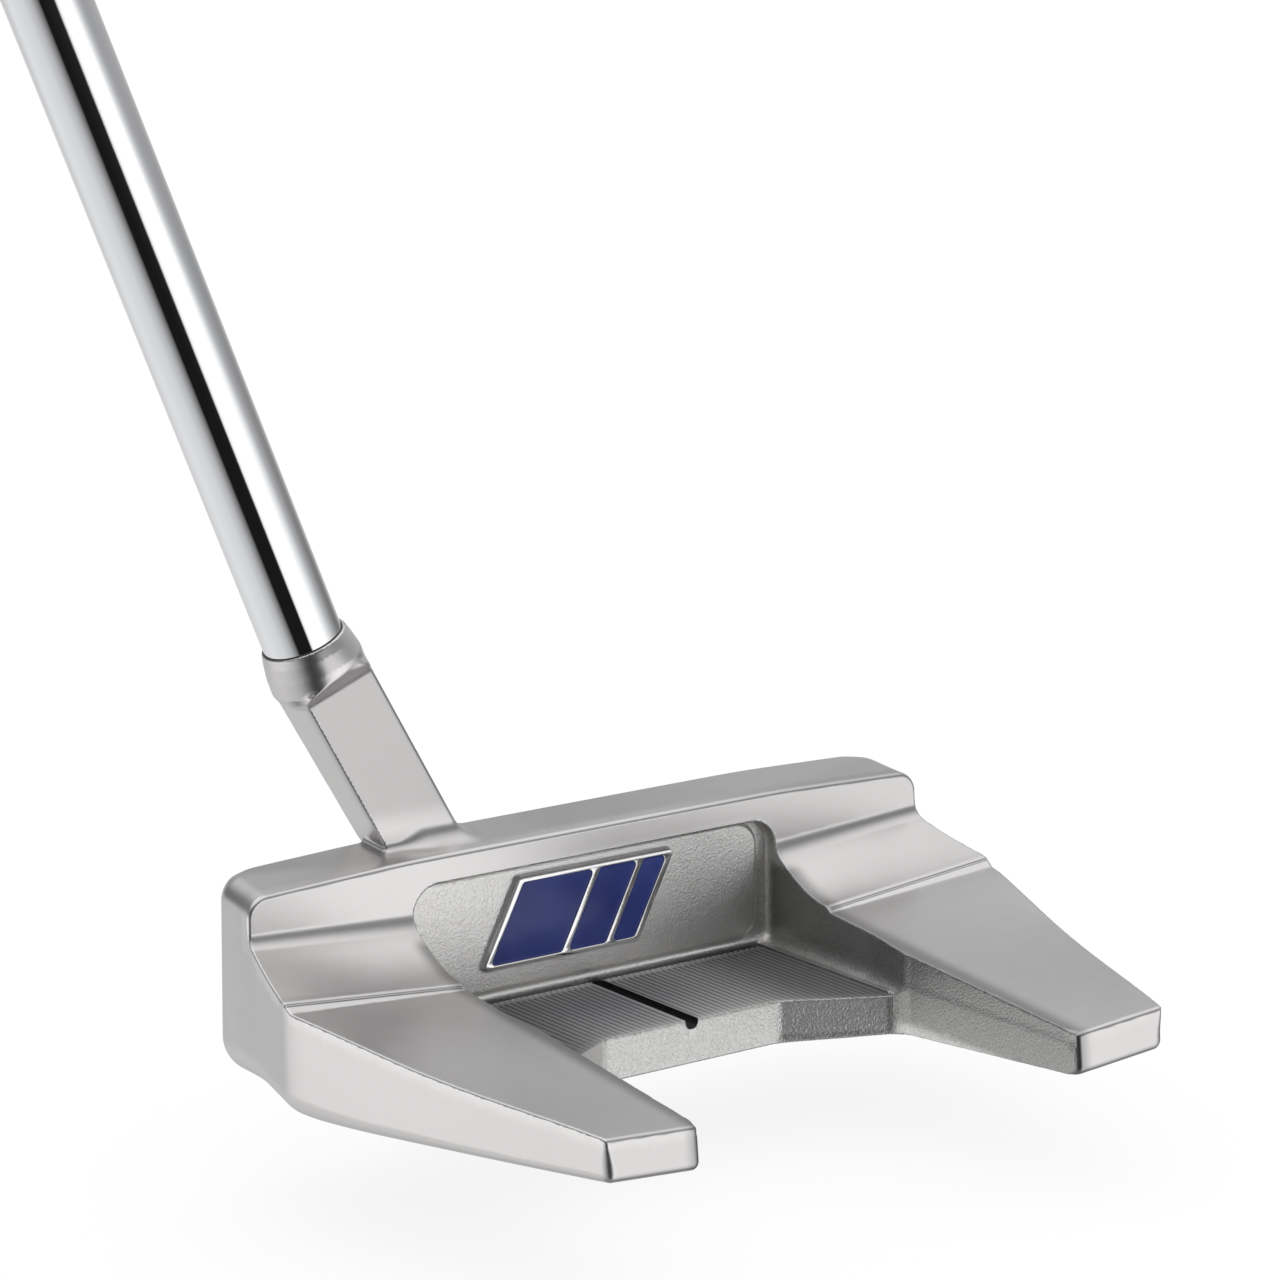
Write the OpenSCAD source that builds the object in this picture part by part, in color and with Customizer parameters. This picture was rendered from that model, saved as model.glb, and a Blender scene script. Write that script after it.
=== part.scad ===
// Mallet putter: a cast head with two rear wings and an open centre pocket, a short
// slanted neck, a steel shaft and a rubber grip, each piece a solid of its own.
// Millimetres. X runs from toe to heel, Y from the face to the back, Z is up.
// The origin is on the ground, under the flat of the sole, at the head's centre line.

/* [Head] */
// heel-to-toe width of the head at its widest
head_w = 101.2; // [97:0.1:104]
// depth from the leading edge to the tips of the wings
head_d = 66.5; // [64:0.1:68]
// height of the topline's front edge above the ground
crown_h = 26.1; // [25.6:0.1:27]
// front-to-back thickness of the topline
topline_t = 8.7; // [8:0.1:9.4]
// height of the grooved pocket floor
floor_h = 5.7; // [5.4:0.1:6.2]
// half width of the centre pocket
pocket_half_w = 26; // [25.6:0.1:26.2]
// upward tilt of each wing towards its outer edge, degrees
wing_tilt = 5; // [4.5:0.1:5.5]
// number of milled grooves on each side of the sight line
groove_count = 28; // [10:1:28]

/* [Neck] */
// lie angle between the shaft and the ground, degrees
lie = 68.5; // [68:0.1:69]
// lean of the flat-sided neck above the ground, degrees
neck_lean = 61.3; // [61:0.1:61.6]
// width of the neck along the topline
neck_w = 9.8; // [9.4:0.1:10.2]

/* [Shaft and grip] */
// outside diameter of the shaft's parallel tip
shaft_d = 9.4; // [9.38:0.01:9.42]
// outside diameter of the shaft at the grip end
butt_d = 15.2; // [14.6:0.1:15.4]
// length of the club along the shaft's line, from the ground to the grip's end
club_len = 864; // [840:1:890]
// length of the grip
grip_len = 267; // [250:1:270]

/* [Sole weights] */
// distance of each sole weight from the head's centre line
weight_x = 36; // [35.6:0.1:37]
// diameter of the weight's threaded shank, drawn at its crests
shank_d = 11.9; // [11.86:0.01:11.92]
// travel of the weight from seated to clear of its thread
weight_travel = 6; // [5:0.5:6.4]

/* [Hidden] */
$fn = 96;
eps = 0.01;

// the leading edge lies this far in front of the origin
lead = 10;
half_w = head_w / 2;
loft_run = 1.3;
back_y = loft_run + topline_t;
back_h = crown_h - 1;
round_steps = 10;
curve_steps = 18;

// sole: flat part, then a slow rise to the rear
sole_front = 1.4;
sole_flat_end = 20;
heel_line_y = 30;
heel_line_h = 0.5;
tail_slope = 0.078;
tail_y = head_d + 4;
tail_h = heel_line_h + tail_slope * (tail_y - heel_line_y);
hinge_x = 26.3;

// wing top, as heights at its inner edge
crease_h = 17.8;
ridge_y = 20.2;
ridge_h = 12.95;
step_y = 21.1;
step_h = 12.3;
wing_fall = 0.09;

// rear outline
tongue_half_w = 12.4;
tongue_y = 28.5;
notch_half_w = 25.3;
notch_y = 35.7;
tip_in = 26.5;
tip_out = 38.1;
tip_round = 1.1;
corner_r = 3.4;

// badge panel at the pocket's front
panel_y = 8.7;
moat_y = 8.1;
panel_half_w = 24;
panel_lo = 6.9;
panel_hi = 21.3;
panel_r = 3.2;
recess_hi = 21.8;
recess_r = 3.6;
bead_r = 1.2;

// floor grooves and sight line
groove_pitch = 0.82;
groove_w = 0.42;
groove_deep = 0.3;
sight_w = 1.05;
sight_deep = 0.8;
sight_ball_r = 0.8;
sight_hole_deep = 1.4;
sight_hole_in = 0.3;
paint_dip = 0.05;

// face insert
insert_w = 74;
insert_lo = 5.2;
insert_hi = 21.6;
insert_t = 4;
bond_t = 0.2;
insert_end_r = 8.1;
face_groove_count = 9;
face_groove_pitch = 1.5;
face_groove_w = 0.5;
face_groove_deep = 0.4;
loft = atan(loft_run / crown_h);

// neck and collar
neck_foot_x = 22.2;
neck_front_y = 0.2;
neck_back_y = 6;
collar_x = 35.3;
collar_y = 2.8;
collar_h = 50.9;
lip_s = 0.5;
socket_s = -2.6;
socket_r = shaft_d / 2 + 0.15;
collar_r = 5.65;
ramp_s = -5.9;
ramp_rise = 2.6;
tenon_deep = 4;
tenon_w = 7;
tenon_t = 4.2;
post_r = 3.95;
post_len = 22;
glue_s = 12;

// shaft
tip_len = 230;
wall_t = 0.55;
ground_s = collar_h / sin(lie);
top_s = club_len - ground_s;
butt_s = top_s - 6;
tip_s = socket_s + 0.1;
taper_end_s = top_s - 180;

// grip
grip_lo_s = top_s - grip_len;
tape_t = 0.2;
cap_t = 3;
flat_off = 10.6;
vent_r = 1.5;

// weights
weight_y = 17;
shank_len = 7.4;
flange_r = 7.2;
flange_t = 1.6;
bore_r = shank_d / 2 + 0.05;
seat_r = 7.5;
seal_t = 0.8;
seal_gap = 0.1;
drive_r = 2.2;
drive_deep = 3.2;
weight_rise = tan(wing_tilt) * (weight_x - hinge_x);
flange_in = 0.3;
seat_h = weight_rise + flange_in + flange_t + seal_t;

// point on a cubic curve
function cubic(a, b, c, d, t) =
    pow(1 - t, 3) * a + 3 * pow(1 - t, 2) * t * b + 3 * (1 - t) * t * t * c + pow(t, 3) * d;
function curve(a, b, c, d, n) = [for (i = [0:n]) cubic(a, b, c, d, i / n)];
function arc(c, r, from, to, n) =
    [for (i = [0:n]) c + r * [cos(from + (to - from) * i / n), sin(from + (to - from) * i / n)]];
function flip(list) = [for (i = [len(list) - 1:-1:0]) [-list[i][0], list[i][1]]];

// plan outline of the heel half, from the centre of the face to the centre of the tongue
front_half_w = half_w - 4.2;
flank = concat(
    arc([front_half_w - corner_r, corner_r], corner_r, -90, 0, round_steps),
    curve([front_half_w + 0.3, 5], [front_half_w + 0.9, 10], [half_w - 0.1, 19], [half_w, 24.5],
          curve_steps),
    curve([half_w, 24.5], [half_w + 0.1, 29.5], [47, 40], [tip_out, head_d - tip_round],
          curve_steps),
    arc([tip_out - tip_round, head_d - tip_round], tip_round, 20, 88, round_steps),
    arc([tip_in + tip_round, head_d - 0.5 - tip_round], tip_round, 92, 178, round_steps),
    [[notch_half_w, notch_y], [tongue_half_w, tongue_y]]);
outline = concat(flank, flip(flank));

wing_top = concat(
    [[back_y, crown_h + 20], [back_y, crease_h + 0.6]],
    curve([back_y, crease_h + 0.6], [back_y + 0.2, 16.2], [15, 14.6], [ridge_y - 0.6, ridge_h], 12),
    [[ridge_y, ridge_h + 0.05], [step_y, step_h],
     [tail_y, step_h - wing_fall * (tail_y - step_y)], [tail_y, crown_h + 20]]);

// the head's own frame starts at the leading edge
module from_lead() {
    translate([0, -lead, 0])
        children();
}

// a drawing in the Y-Z plane, drawn out along X
module across(width) {
    translate([-width / 2, 0, 0])
        rotate([90, 0, 90])
            linear_extrude(height = width)
                children();
}

// a drawing in the X-Z plane, drawn out along Y between two depths
module along(y0, y1) {
    translate([0, y1, 0])
        rotate([90, 0, 0])
            linear_extrude(height = y1 - y0)
                children();
}

module both_sides() {
    children();
    mirror([1, 0, 0])
        children();
}

// a frame on the shaft's line, at the collar, with Z up the shaft
module on_shaft() {
    translate([collar_x, collar_y, collar_h])
        rotate([0, 90 - lie, 0])
            children();
}

// tilts a heel-side shape about the wing's inner edge
module tilted() {
    translate([hinge_x, 0, 0])
        rotate([0, -wing_tilt, 0])
            translate([-hinge_x, 0, 0])
                children();
}

module side_profile() {
    polygon([[sole_front, 0], [sole_flat_end, 0], [heel_line_y, heel_line_h], [tail_y, tail_h],
             [tail_y, back_h], [back_y, back_h], [loft_run, crown_h], [0, 1.6], [0.4, 0.5]]);
}

// heel half of the front view: the topline's ends are well rounded
front_edge = concat([[half_w + 2, -1], [half_w + 2, 15.5], [front_half_w + 1, 20.4]],
                    arc([front_half_w - 4.1, crown_h - 4.4], 4.6, 0, 82, round_steps),
                    [[front_half_w - 8, crown_h + 0.6]]);

module front_profile() {
    polygon(concat(front_edge, flip(front_edge)));
}

module head_block() {
    intersection() {
        linear_extrude(height = crown_h + 2)
            polygon(outline);
        across(head_w + 10)
            side_profile();
        along(-1, tail_y)
            front_profile();
    }
}

// everything above one wing's top surface
module over_wing() {
    tilted()
        translate([half_w / 2 - 4, 0, 0])
            across(half_w + 24)
                polygon(wing_top);
}

// everything below one wing's outer underside
module under_wing() {
    tilted()
        translate([hinge_x + 20, 0, 0])
            across(40)
                polygon([[-2, -8], [tail_y, -8], [tail_y, tail_h], [heel_line_y, heel_line_h],
                         [sole_flat_end, 0], [-2, 0]]);
}

module rounded_plate(half, lo, hi, r) {
    translate([-half + r, lo])
        square([2 * (half - r), hi - lo]);
    translate([-half, lo + r])
        square([2 * half, hi - lo - 2 * r]);
    for (x = [-half + r, half - r])
        for (z = [lo + r, hi - r])
            translate([x, z])
                circle(r = r);
}

// the pocket's cross-section: square at the floor, rounded at the top
module pocket_section() {
    translate([-pocket_half_w, floor_h])
        square([2 * pocket_half_w, recess_hi - floor_h - recess_r]);
    translate([-pocket_half_w + recess_r, floor_h + 1])
        square([2 * (pocket_half_w - recess_r), recess_hi - floor_h - 1]);
    for (x = [-pocket_half_w + recess_r, pocket_half_w - recess_r])
        translate([x, recess_hi - recess_r])
            circle(r = recess_r);
}

module centre_pocket() {
    difference() {
        along(moat_y, tail_y)
            pocket_section();
        along(moat_y - 1, panel_y)
            rounded_plate(panel_half_w, panel_lo, panel_hi, panel_r);
        both_sides()
            translate([pocket_half_w + eps, 0, floor_h - eps])
                bead();
    }
}

// a rounded bead left along the foot of each side wall
module bead() {
    translate([0, moat_y - 1, 0])
        rotate([-90, 0, 0])
            cylinder(r = bead_r, h = notch_y - moat_y - 0.6);
}

module floor_grooves() {
    for (side = [-1, 1])
        for (i = [0:groove_count - 1])
            translate([side * (1.5 + i * groove_pitch) - groove_w / 2, moat_y,
                       floor_h - groove_deep])
                cube([groove_w, notch_y - moat_y + 1, groove_deep + 0.5]);
}

// the sight line and the drilled hole at its rear end, up to a chosen height
module sight_line(top) {
    translate([-sight_w / 2, panel_y - 0.2, floor_h - sight_deep])
        cube([sight_w, tongue_y - panel_y - 0.3, sight_deep + top]);
    translate([0, tongue_y - sight_hole_in, floor_h - sight_hole_deep])
        cylinder(r = sight_ball_r, h = sight_hole_deep + top);
}

// the face leans back by the loft
module on_face() {
    rotate([-loft, 0, 0])
        children();
}

module insert_shape(grow) {
    rounded_plate(insert_w / 2 + grow, insert_lo - grow, insert_hi + grow, insert_end_r);
}

module head_body() {
    color([0.72, 0.71, 0.69])
        from_lead()
            difference() {
                head_block();
                both_sides()
                    over_wing();
                both_sides()
                    under_wing();
                centre_pocket();
                floor_grooves();
                sight_line(0.5);
                on_face()
                    along(-2, insert_t + bond_t)
                        insert_shape(0);
                both_sides()
                    weight_bore();
                neck_tenon();
            }
}

module weight_bore() {
    translate([weight_x, weight_y, -1])
        cylinder(r = seat_r, h = seat_h + 1);
    translate([weight_x, weight_y, seat_h - eps])
        cylinder(r = bore_r, h = shank_len + 0.4);
}

// the flat-sided neck, as its outline in the X-Z plane
neck_top_h = collar_h + ramp_s * sin(lie) + 2;
function neck_x(z) = neck_foot_x + (z - crown_h) / tan(neck_lean);

module neck_blank() {
    along(neck_front_y, neck_back_y)
        polygon([[neck_x(crown_h - 4) - neck_w / 2, crown_h - 4],
                 [neck_x(crown_h - 4) + neck_w / 2, crown_h - 4],
                 [neck_x(neck_top_h) + neck_w / 2, neck_top_h],
                 [neck_x(neck_top_h) - neck_w / 2, neck_top_h]]);
}

// a low flare where the neck meets the topline
module neck_foot() {
    along(loft_run + 0.6, neck_back_y + 0.9)
        polygon([[neck_foot_x - neck_w / 2 - 2.2, crown_h - 3],
                 [neck_foot_x + neck_w / 2 + 0.6, crown_h - 3],
                 [neck_foot_x + neck_w / 2 + 0.4, crown_h + 0.4],
                 [neck_foot_x - neck_w / 2 + 0.2, crown_h + 1.3],
                 [neck_foot_x - neck_w / 2 - 1.9, crown_h - 0.3]]);
}

// ramp that trims the collar back to the neck's flat rear face
module ramp_cut() {
    translate([0, neck_back_y - collar_y, ramp_s])
        rotate([90, 0, 90])
            translate([0, 0, -12])
                linear_extrude(height = 24)
                    polygon([[0, 0], [ramp_rise, ramp_rise], [9, ramp_rise], [9, -9], [0, -9]]);
}

module collar() {
    rotate_extrude()
        polygon([[0, lip_s], [5, lip_s], [5.25, lip_s - 1.2], [5.5, lip_s - 3],
                 [collar_r, lip_s - 5], [collar_r, ramp_s], [collar_r - 0.9, ramp_s - 1.6],
                 [3, ramp_s - 3.6], [0, ramp_s - 3.6]]);
}

module neck_tenon() {
    translate([neck_foot_x - 2 - tenon_w / 2, (neck_front_y + neck_back_y + 2 - tenon_t) / 2,
               crown_h - tenon_deep])
        cube([tenon_w, tenon_t, tenon_deep + 1]);
}

module hosel_neck() {
    color([0.7, 0.69, 0.67])
        from_lead() {
            difference() {
                union() {
                    neck_blank();
                    neck_foot();
                    on_shaft()
                        collar();
                }
                across(head_w)
                    side_profile();
                on_shaft()
                    ramp_cut();
                on_shaft()
                    translate([0, 0, socket_s])
                        cylinder(r = socket_r, h = 20);
            }
            neck_tenon_solid();
            on_shaft()
                translate([0, 0, socket_s - 1])
                    cylinder(r = post_r, h = post_len);
        }
}

// the tenon stops just under the topline's surface, inside its slot
module neck_tenon_solid() {
    intersection() {
        neck_tenon();
        across(head_w)
            side_profile();
    }
}

module face_insert() {
    color([0.42, 0.44, 0.47])
        from_lead()
            on_face()
                difference() {
                    along(0.02, insert_t)
                        insert_shape(0);
                    for (i = [0:face_groove_count - 1])
                        translate([-insert_w / 2 - 1, -1,
                                   (insert_lo + insert_hi) / 2 - face_groove_w / 2
                                   + (i - (face_groove_count - 1) / 2) * face_groove_pitch])
                            cube([insert_w + 2, 1 + face_groove_deep, face_groove_w]);
                }
}

module insert_bond() {
    color([0.85, 0.83, 0.75])
        from_lead()
            on_face()
                along(insert_t, insert_t + bond_t)
                    insert_shape(0);
}

// badge: a slanted plate with three slanted enamel bars, wide to narrow towards the toe
badge_lo = 9.7;
badge_h = 10.8;
badge_lean = 0.52;
badge_t = 0.9;
badge_rim = 0.7;
badge_x = 16.6;
badge_w = 22.6;
bar_starts = [0.9, 11.9, 18.2];
bar_widths = [10.1, 5.4, 3.3];

// a leaning bar, measured from the badge's lower heel corner towards the toe
module slanted(x0, w, z0, h) {
    polygon([[-x0 - z0 * badge_lean, z0], [-x0 - w - z0 * badge_lean, z0],
             [-x0 - w - (z0 + h) * badge_lean, z0 + h], [-x0 - (z0 + h) * badge_lean, z0 + h]]);
}

module badge_bars() {
    for (i = [0:len(bar_starts) - 1])
        slanted(bar_starts[i], bar_widths[i], badge_rim, badge_h - 2 * badge_rim);
}

module badge_place(y0, y1) {
    from_lead()
        translate([badge_x, 0, badge_lo])
            along(y0, y1)
                children();
}

module badge_frame() {
    color([0.85, 0.86, 0.88])
        difference() {
            badge_place(panel_y + 0.1, panel_y + 0.1 + badge_t)
                slanted(0, badge_w, 0, badge_h);
            badge_place(panel_y + 0.5, panel_y + 3)
                badge_bars();
        }
}

module badge_enamel() {
    color([0.09, 0.12, 0.35])
        badge_place(panel_y + 0.5, panel_y + 0.1 + badge_t - 0.08)
            badge_bars();
}

module badge_bond() {
    color([0.9, 0.9, 0.86])
        badge_place(panel_y, panel_y + 0.1)
            slanted(0.6, badge_w - 1.2, 0.3, badge_h - 0.6);
}

module sight_line_paint() {
    color([0.02, 0.02, 0.02])
        from_lead()
            intersection() {
                sight_line(-paint_dip);
                translate([-2, 0, 0])
                    cube([4, tongue_y - paint_dip, floor_h]);
            }
}

module sole_weight() {
    translate([weight_x, weight_y - lead, weight_rise])
        difference() {
            union() {
                translate([0, 0, flange_in])
                    cylinder(r = flange_r, h = flange_t);
                translate([0, 0, flange_in + flange_t - eps])
                    cylinder(d = shank_d, h = shank_len);
            }
            translate([0, 0, -1])
                cylinder(r = drive_r, h = drive_deep + 1.3, $fn = 6);
        }
}

module weight_seal() {
    translate([weight_x, weight_y - lead, weight_rise + flange_in + flange_t + seal_gap])
        difference() {
            cylinder(r = flange_r, h = seal_t - 2 * seal_gap);
            translate([0, 0, -1])
                cylinder(r = shank_d / 2 + 0.06, h = 3);
        }
}

module heel_weight() {
    color([0.55, 0.56, 0.58])
        sole_weight();
}

module toe_weight() {
    color([0.55, 0.56, 0.58])
        mirror([1, 0, 0])
            sole_weight();
}

module heel_weight_seal() {
    color([0.06, 0.06, 0.06])
        weight_seal();
}

module toe_weight_seal() {
    color([0.06, 0.06, 0.06])
        mirror([1, 0, 0])
            weight_seal();
}

module shaft() {
    color([0.86, 0.87, 0.9])
        from_lead()
            on_shaft()
                rotate_extrude()
                    polygon([[shaft_d / 2 - wall_t, tip_s], [shaft_d / 2, tip_s],
                             [shaft_d / 2, tip_len], [butt_d / 2, taper_end_s],
                             [butt_d / 2, butt_s], [butt_d / 2 - wall_t, butt_s],
                             [butt_d / 2 - wall_t, taper_end_s],
                             [shaft_d / 2 - wall_t, tip_len]]);
}

module shaft_epoxy() {
    color([0.1, 0.1, 0.1])
        from_lead()
            on_shaft()
                rotate_extrude()
                    polygon([[post_r, socket_s], [socket_r, socket_s], [socket_r, lip_s],
                             [socket_r - 0.05, lip_s + 0.15], [shaft_d / 2, lip_s + 0.15],
                             [shaft_d / 2, tip_s], [shaft_d / 2 - wall_t, tip_s],
                             [shaft_d / 2 - wall_t, glue_s], [post_r, glue_s]]);
}

// outside radius of the shaft at a height above the collar
function shaft_r(s) = s >= taper_end_s ? butt_d / 2
    : shaft_d / 2 + (butt_d - shaft_d) / 2 * (s - tip_len) / (taper_end_s - tip_len);

module grip_tape() {
    color([0.9, 0.89, 0.85])
        from_lead()
            on_shaft()
                rotate_extrude()
                    polygon([[shaft_r(grip_lo_s + 4), grip_lo_s + 4],
                             [shaft_r(grip_lo_s + 4) + tape_t, grip_lo_s + 4],
                             [butt_d / 2 + tape_t, taper_end_s], [butt_d / 2 + tape_t, butt_s],
                             [butt_d / 2, butt_s], [butt_d / 2, taper_end_s]]);
}

// round body of the grip, thickening upwards, with a fuller heel at the top
module grip_body() {
    rotate_extrude()
        polygon(concat([[0, grip_lo_s]], [[9.1, grip_lo_s]],
                       [for (i = [0:24]) [grip_r(i / 24), grip_lo_s + 2 + i / 24 * (grip_len - 7)]],
                       [[0, top_s - cap_t]]));
    translate([3.2, 0, 0])
        rotate_extrude()
            polygon(concat([[0, top_s - 120]],
                           [for (i = [0:20]) [bulge_r(i / 20), top_s - 120 + i / 20 * (120 - cap_t - 2)]],
                           [[0, top_s - cap_t - 2]]));
}

function grip_r(t) = 9.5 + 4.2 * pow(t, 0.8);
function bulge_r(t) = 4 + 9.8 * sin(90 * min(1, t * 2.2)) - 1.2 * max(0, sin(180 * t));

module grip() {
    color([0.05, 0.05, 0.055])
        from_lead()
            on_shaft()
                difference() {
                    grip_body();
                    translate([-flat_off - 20, -30, grip_lo_s - 1])
                        cube([20, 60, grip_len + 2]);
                    grip_bore();
                }
}

// the hollow that holds the shaft and its tape
module grip_bore() {
    rotate_extrude()
        polygon([[0, grip_lo_s - 1], [shaft_r(grip_lo_s) + 0.01, grip_lo_s - 1],
                 [shaft_r(grip_lo_s + 4), grip_lo_s + 4],
                 [shaft_r(grip_lo_s + 4) + tape_t, grip_lo_s + 4],
                 [butt_d / 2 + tape_t, taper_end_s], [butt_d / 2 + tape_t, butt_s], [0, butt_s]]);
    translate([0, 0, butt_s - 1])
        cylinder(r = vent_r, h = 12);
}

module grip_cap() {
    color([0.08, 0.08, 0.085])
        from_lead()
            on_shaft()
                difference() {
                    translate([0, 0, top_s - cap_t])
                        union() {
                            cylinder(r1 = 13.4, r2 = 12.2, h = cap_t);
                            translate([3.2, 0, 0])
                                cylinder(r1 = 12.6, r2 = 11.4, h = cap_t);
                        }
                    translate([-flat_off - 20, -30, grip_lo_s - 1])
                        cube([20, 60, grip_len + 2]);
                    translate([0, 0, butt_s - 1])
                        cylinder(r = vent_r, h = 12);
                }
}

head_body();
hosel_neck();
face_insert();
insert_bond();
badge_frame();
badge_enamel();
badge_bond();
sight_line_paint();
heel_weight();
toe_weight();
heel_weight_seal();
toe_weight_seal();
shaft();
shaft_epoxy();
grip_tape();
grip();
grip_cap();
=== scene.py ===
# Mallet putter: the looks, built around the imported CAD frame.
# Working units are millimetres, with Y measured from the head's leading edge, +Y to the rear,
# +X to the heel and Z up from the sole. placed() turns them into metres in the part's frame.
import math
import bmesh
import bpy
import numpy as np
from mathutils import Matrix, Vector
from mathutils.geometry import tessellate_polygon


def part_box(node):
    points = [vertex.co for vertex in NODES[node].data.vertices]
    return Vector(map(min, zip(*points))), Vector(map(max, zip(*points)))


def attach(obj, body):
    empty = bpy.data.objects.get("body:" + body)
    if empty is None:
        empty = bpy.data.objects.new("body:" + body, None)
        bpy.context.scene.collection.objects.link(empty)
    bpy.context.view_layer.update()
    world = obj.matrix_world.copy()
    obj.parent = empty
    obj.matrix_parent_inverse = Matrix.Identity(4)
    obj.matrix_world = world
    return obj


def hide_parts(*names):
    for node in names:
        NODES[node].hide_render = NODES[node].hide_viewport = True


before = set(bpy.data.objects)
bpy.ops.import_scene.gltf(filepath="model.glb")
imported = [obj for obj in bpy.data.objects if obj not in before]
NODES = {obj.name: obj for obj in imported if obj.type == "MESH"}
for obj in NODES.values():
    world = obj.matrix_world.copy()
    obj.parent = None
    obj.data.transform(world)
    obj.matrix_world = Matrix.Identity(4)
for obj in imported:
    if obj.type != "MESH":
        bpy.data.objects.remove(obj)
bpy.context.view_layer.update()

MM = 0.001
LEAD = -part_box("head_body")[0].y / MM
HALF_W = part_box("head_body")[1].x / MM
FLOOR_Z = 5.72

# shaft line, from the collar upwards
LIE = math.radians(68.5)
COLLAR = np.array([35.3, 2.8, 50.9])
SHAFT_DIR = np.array([math.cos(LIE), 0.0, math.sin(LIE)])
SHAFT_SIDE = np.array([math.sin(LIE), 0.0, -math.cos(LIE)])
SHAFT_BACK = np.array([0.0, 1.0, 0.0])
LIP_S = 0.5


# ---------------------------------------------------------------- camera
def add_camera():
    turn, rise, roll = (math.radians(a) for a in (34.99, 12.43, -0.82))
    back = Vector((math.sin(turn) * math.cos(rise), math.cos(turn) * math.cos(rise),
                   math.sin(rise)))
    target = Vector((-11.66, -7.54, 44.66)) * MM
    right = (-back).cross(Vector((0, 0, 1))).normalized()
    up = right.cross(-back)
    right_r = right * math.cos(roll) + up * math.sin(roll)
    up_r = up * math.cos(roll) - right * math.sin(roll)
    matrix = Matrix((right_r, up_r, back)).transposed().to_4x4()
    matrix.translation = target + back * 0.54118
    data = bpy.data.cameras.new("camera")
    data.sensor_width = 36
    data.lens = 126.74
    data.clip_start = 0.01
    data.dof.use_dof = False
    camera = bpy.data.objects.new("camera", data)
    camera.matrix_world = matrix
    bpy.context.scene.collection.objects.link(camera)
    bpy.context.scene.camera = camera


add_camera()


# ---------------------------------------------------------------- mesh helpers
def placed(points):
    """Millimetres from the leading edge to metres in the part's frame."""
    p = np.array(points, float).reshape(-1, 3) - (0, LEAD, 0)
    return p * MM


def bare_mesh(name, points, faces):
    mesh = bpy.data.meshes.new(name)
    mesh.from_pydata(placed(points).tolist(), [], [list(map(int, f)) for f in faces])
    mesh.validate()
    piece = bpy.data.objects.new(name, mesh)
    bpy.context.scene.collection.objects.link(piece)
    return piece


def add_piece(name, points, faces, stands_for=()):
    """A piece that rides on the head, and the CAD nodes that it stands in for."""
    piece = bare_mesh(name, points, faces)
    piece.data.update()
    piece.data.polygons.foreach_set("use_smooth", [True] * len(piece.data.polygons))
    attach(piece, "head")
    if stands_for:
        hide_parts(*stands_for)
    return piece


def apply_modifiers(piece):
    graph = bpy.context.evaluated_depsgraph_get()
    graph.update()
    old = piece.data
    piece.data = bpy.data.meshes.new_from_object(piece.evaluated_get(graph))
    piece.modifiers.clear()
    piece.data.name = piece.name
    bpy.data.meshes.remove(old)


def shade_by_angle(piece, degrees):
    """Smooth faces, with edges sharper than the angle kept sharp."""
    mesh = piece.data
    mesh.polygons.foreach_set("use_smooth", [True] * len(mesh.polygons))
    mesh.set_sharp_from_angle(angle=math.radians(degrees))


# ---------------------------------------------------------------- fields
# A field is negative inside the metal, in millimetres.
def meet(a, b, r):
    """Intersection with a rounded edge."""
    return np.minimum(-r, np.maximum(a, b)) + np.hypot(np.maximum(r + a, 0), np.maximum(r + b, 0))


def join(a, b, r):
    """Union with a fillet."""
    return np.maximum(r, np.minimum(a, b)) - np.hypot(np.maximum(r - a, 0), np.maximum(r - b, 0))


def cut(a, b, r):
    """a with b taken out of it, and the edge rounded."""
    return meet(a, -b, r)


def ramp(t, w):
    """0 below zero, t above it, with a soft bend of width w."""
    return (np.sqrt(t * t + w * w) + t) / 2


def step(lo, hi, t):
    """0 at lo and 1 at hi, with a smooth rise or fall between."""
    u = np.clip((t - lo) / (hi - lo), 0, 1)
    return u * u * (3 - 2 * u)


# half width of the head against depth, from its slope
SLOPE_Y = [-4, 0, 6, 9, 12, 19.5, 20.5, 22, 23.5, 25, 80]
SLOPE = [0.03, 0.03, 0.05, 0.12, 0.225, 0.215, 0.1, -0.12, -0.2, -0.262, -0.27]
FLANK_Y = np.linspace(-4, 80, 1681)
FLANK_DX = np.interp(FLANK_Y, SLOPE_Y, SLOPE)
FLANK_X = np.concatenate([[0], np.cumsum((FLANK_DX[1:] + FLANK_DX[:-1]) / 2 * np.diff(FLANK_Y))])
FLANK_X += HALF_W - 0.4 - FLANK_X.max()


def wall_x(y):
    """Half width between the wings' inner walls."""
    return np.interp(y, [0, 29, 36, 66, 80], [26.0, 26.0, 25.3, 26.05, 26.4])


def rear_line(a):
    """Distance in front of the tongue's rear outline, as (tongue end, slanted wall)."""
    return 28.5, 28.5 + (a - 12.4) * 0.558


def rounded_rect(u, v, cu, cv, hu, hv, r):
    """Distance to a rounded rectangle, from its centre, half sizes and corner radius."""
    du = np.abs(u - cu) - (hu - r)
    dv = np.abs(v - cv) - (hv - r)
    return np.minimum(np.maximum(du, dv), 0) + np.hypot(np.maximum(du, 0), np.maximum(dv, 0)) - r


def pocket_field(a, y, z):
    """The centre pocket as a solid of air, down to its floor."""
    side = meet(a - wall_x(y), z - 21.8, 3.6)
    side = meet(side, 8.1 - y, 0.35)
    return meet(side, FLOOR_Z - z, 2.0)


def notch_field(a, y, inset=0.0):
    """Everything behind the tongue, between the wings."""
    end, slant = rear_line(a)
    back = meet(end - inset - y, (slant - inset - y) * 0.873, 0.3)
    return meet(back, a - wall_x(y), 1.6)


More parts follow.
